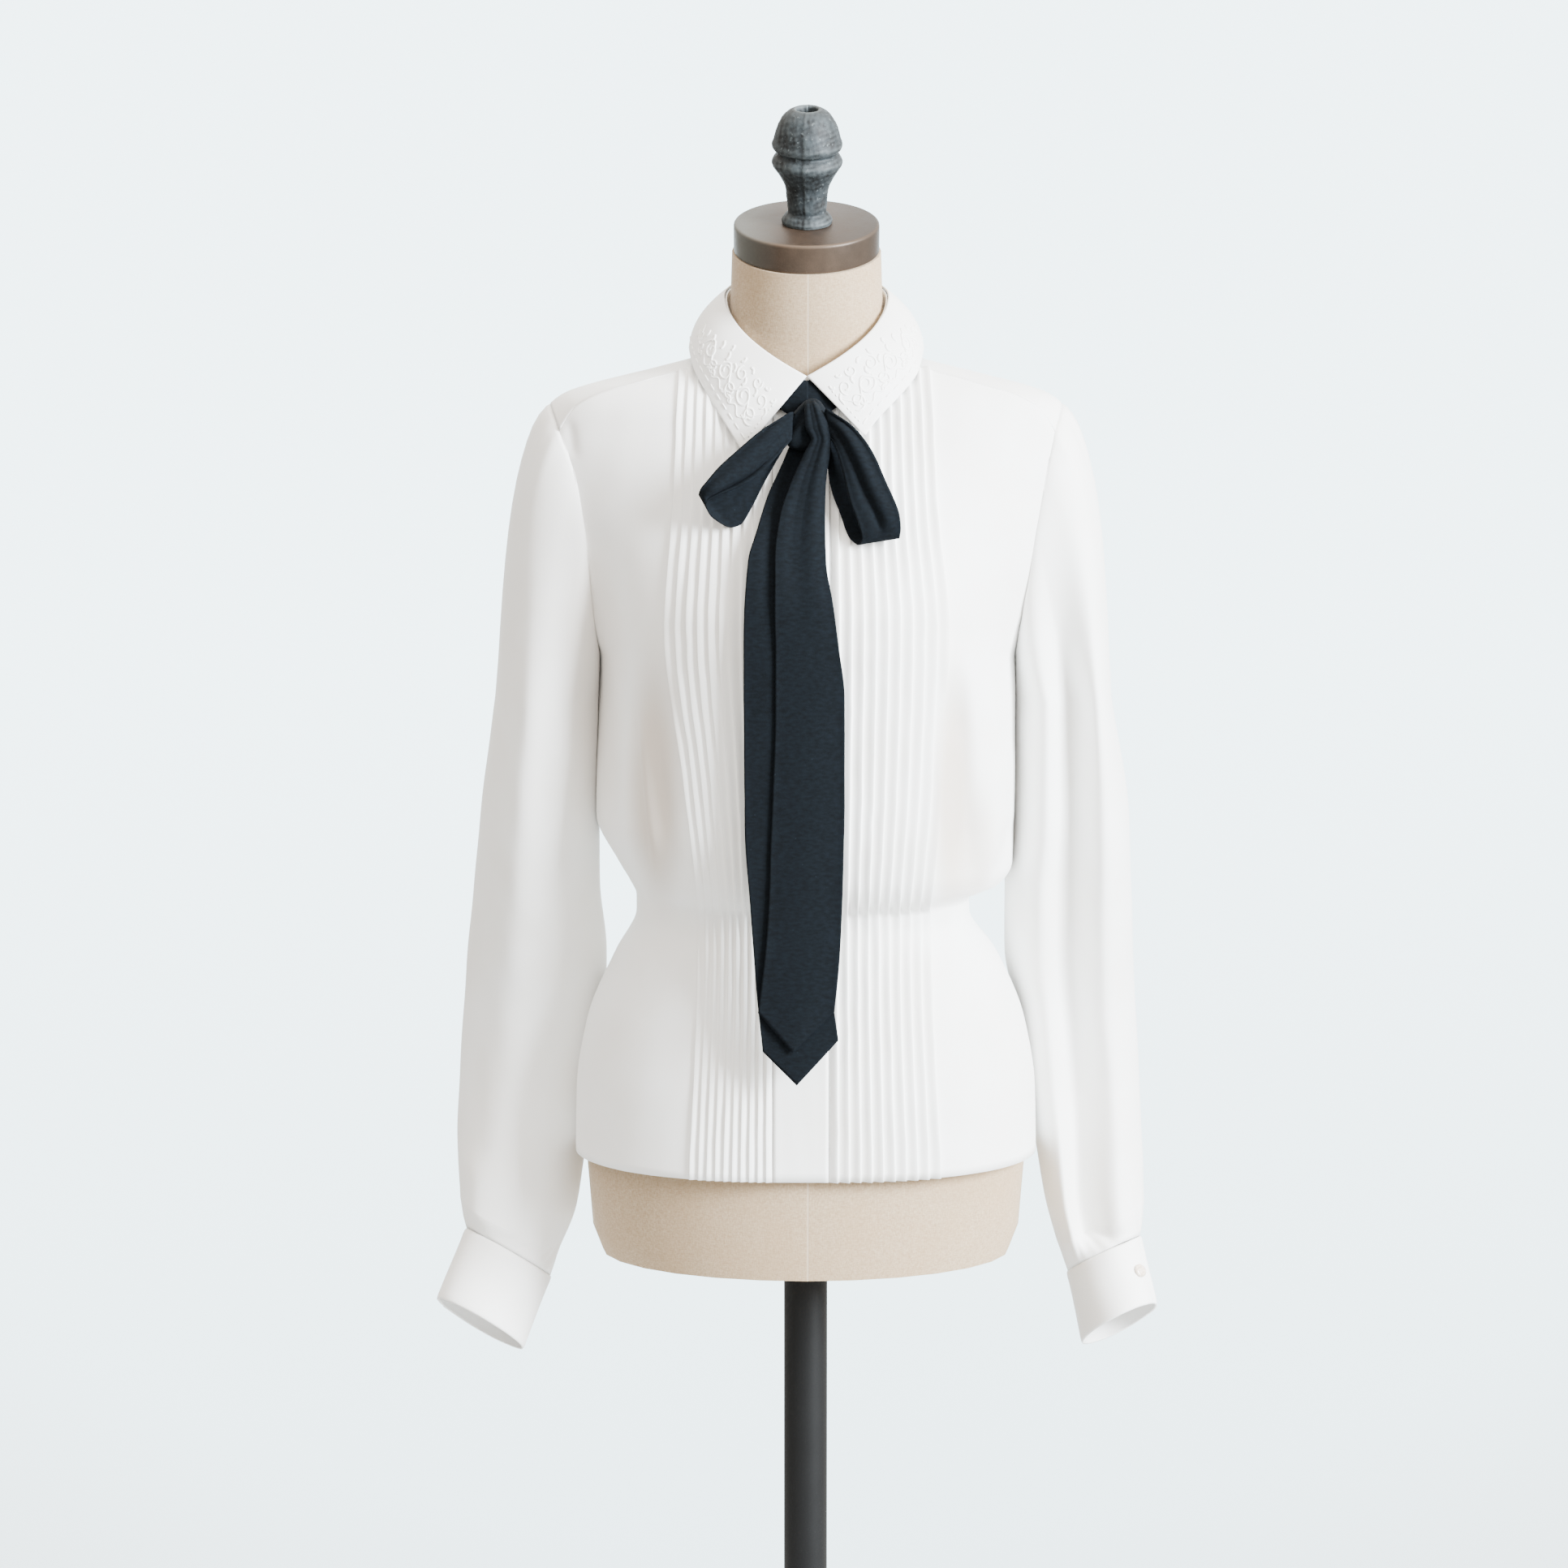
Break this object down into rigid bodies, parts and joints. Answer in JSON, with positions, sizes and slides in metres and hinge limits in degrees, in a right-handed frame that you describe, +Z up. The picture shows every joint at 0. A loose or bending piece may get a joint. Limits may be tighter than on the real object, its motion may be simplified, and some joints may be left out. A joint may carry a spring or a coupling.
{
  "type": "blouse on a dress form with its stand",
  "caption": "White crepe blouse with pin-tucked fronts, an embroidered pointed collar, long cuffed sleeves and a dark neck tie, worn by a limbless linen dress form on a plain round stand.",
  "frame": {"origin": "on the floor under the middle of the stand's round base", "axes": "+Z up, the blouse's front faces -Y, +X towards the wearer's left sleeve"},
  "size_m": [0.5304, 0.38, 1.6135],
  "materials": {
    "crepe": "matt white crepe",
    "tie": "matt blue-black plain weave",
    "linen": "natural linen, pulled smooth",
    "cap": "dark bronzed, rim worn lighter",
    "finial": "weathered grey casting",
    "stand": "satin black",
    "pearl": "pearly"
  },
  "bodies": {
    "root": {"back": "crepe", "collar": "crepe", "collar_stand": "crepe", "cuff_button_left": "pearl", "cuff_button_right": "pearl", "cuff_left": "crepe", "cuff_right": "crepe", "form_cap": "cap", "form_finial": "finial", "form_torso": "linen", "front_button_1": "pearl", "front_button_2": "pearl", "front_button_3": "pearl", "front_button_4": "pearl", "front_button_5": "pearl", "front_left": "crepe", "front_placket": "crepe", "front_right": "crepe", "sleeve_left": "crepe", "sleeve_right": "crepe", "stand_base": "stand", "stand_pole": "stand", "tie_band": "tie", "tie_knot": "tie", "tie_loop_left": "tie", "tie_loop_right": "tie", "tie_tail_back": "tie", "tie_tail_front": "tie", "yoke": "crepe"}
  },
  "joints": []
}
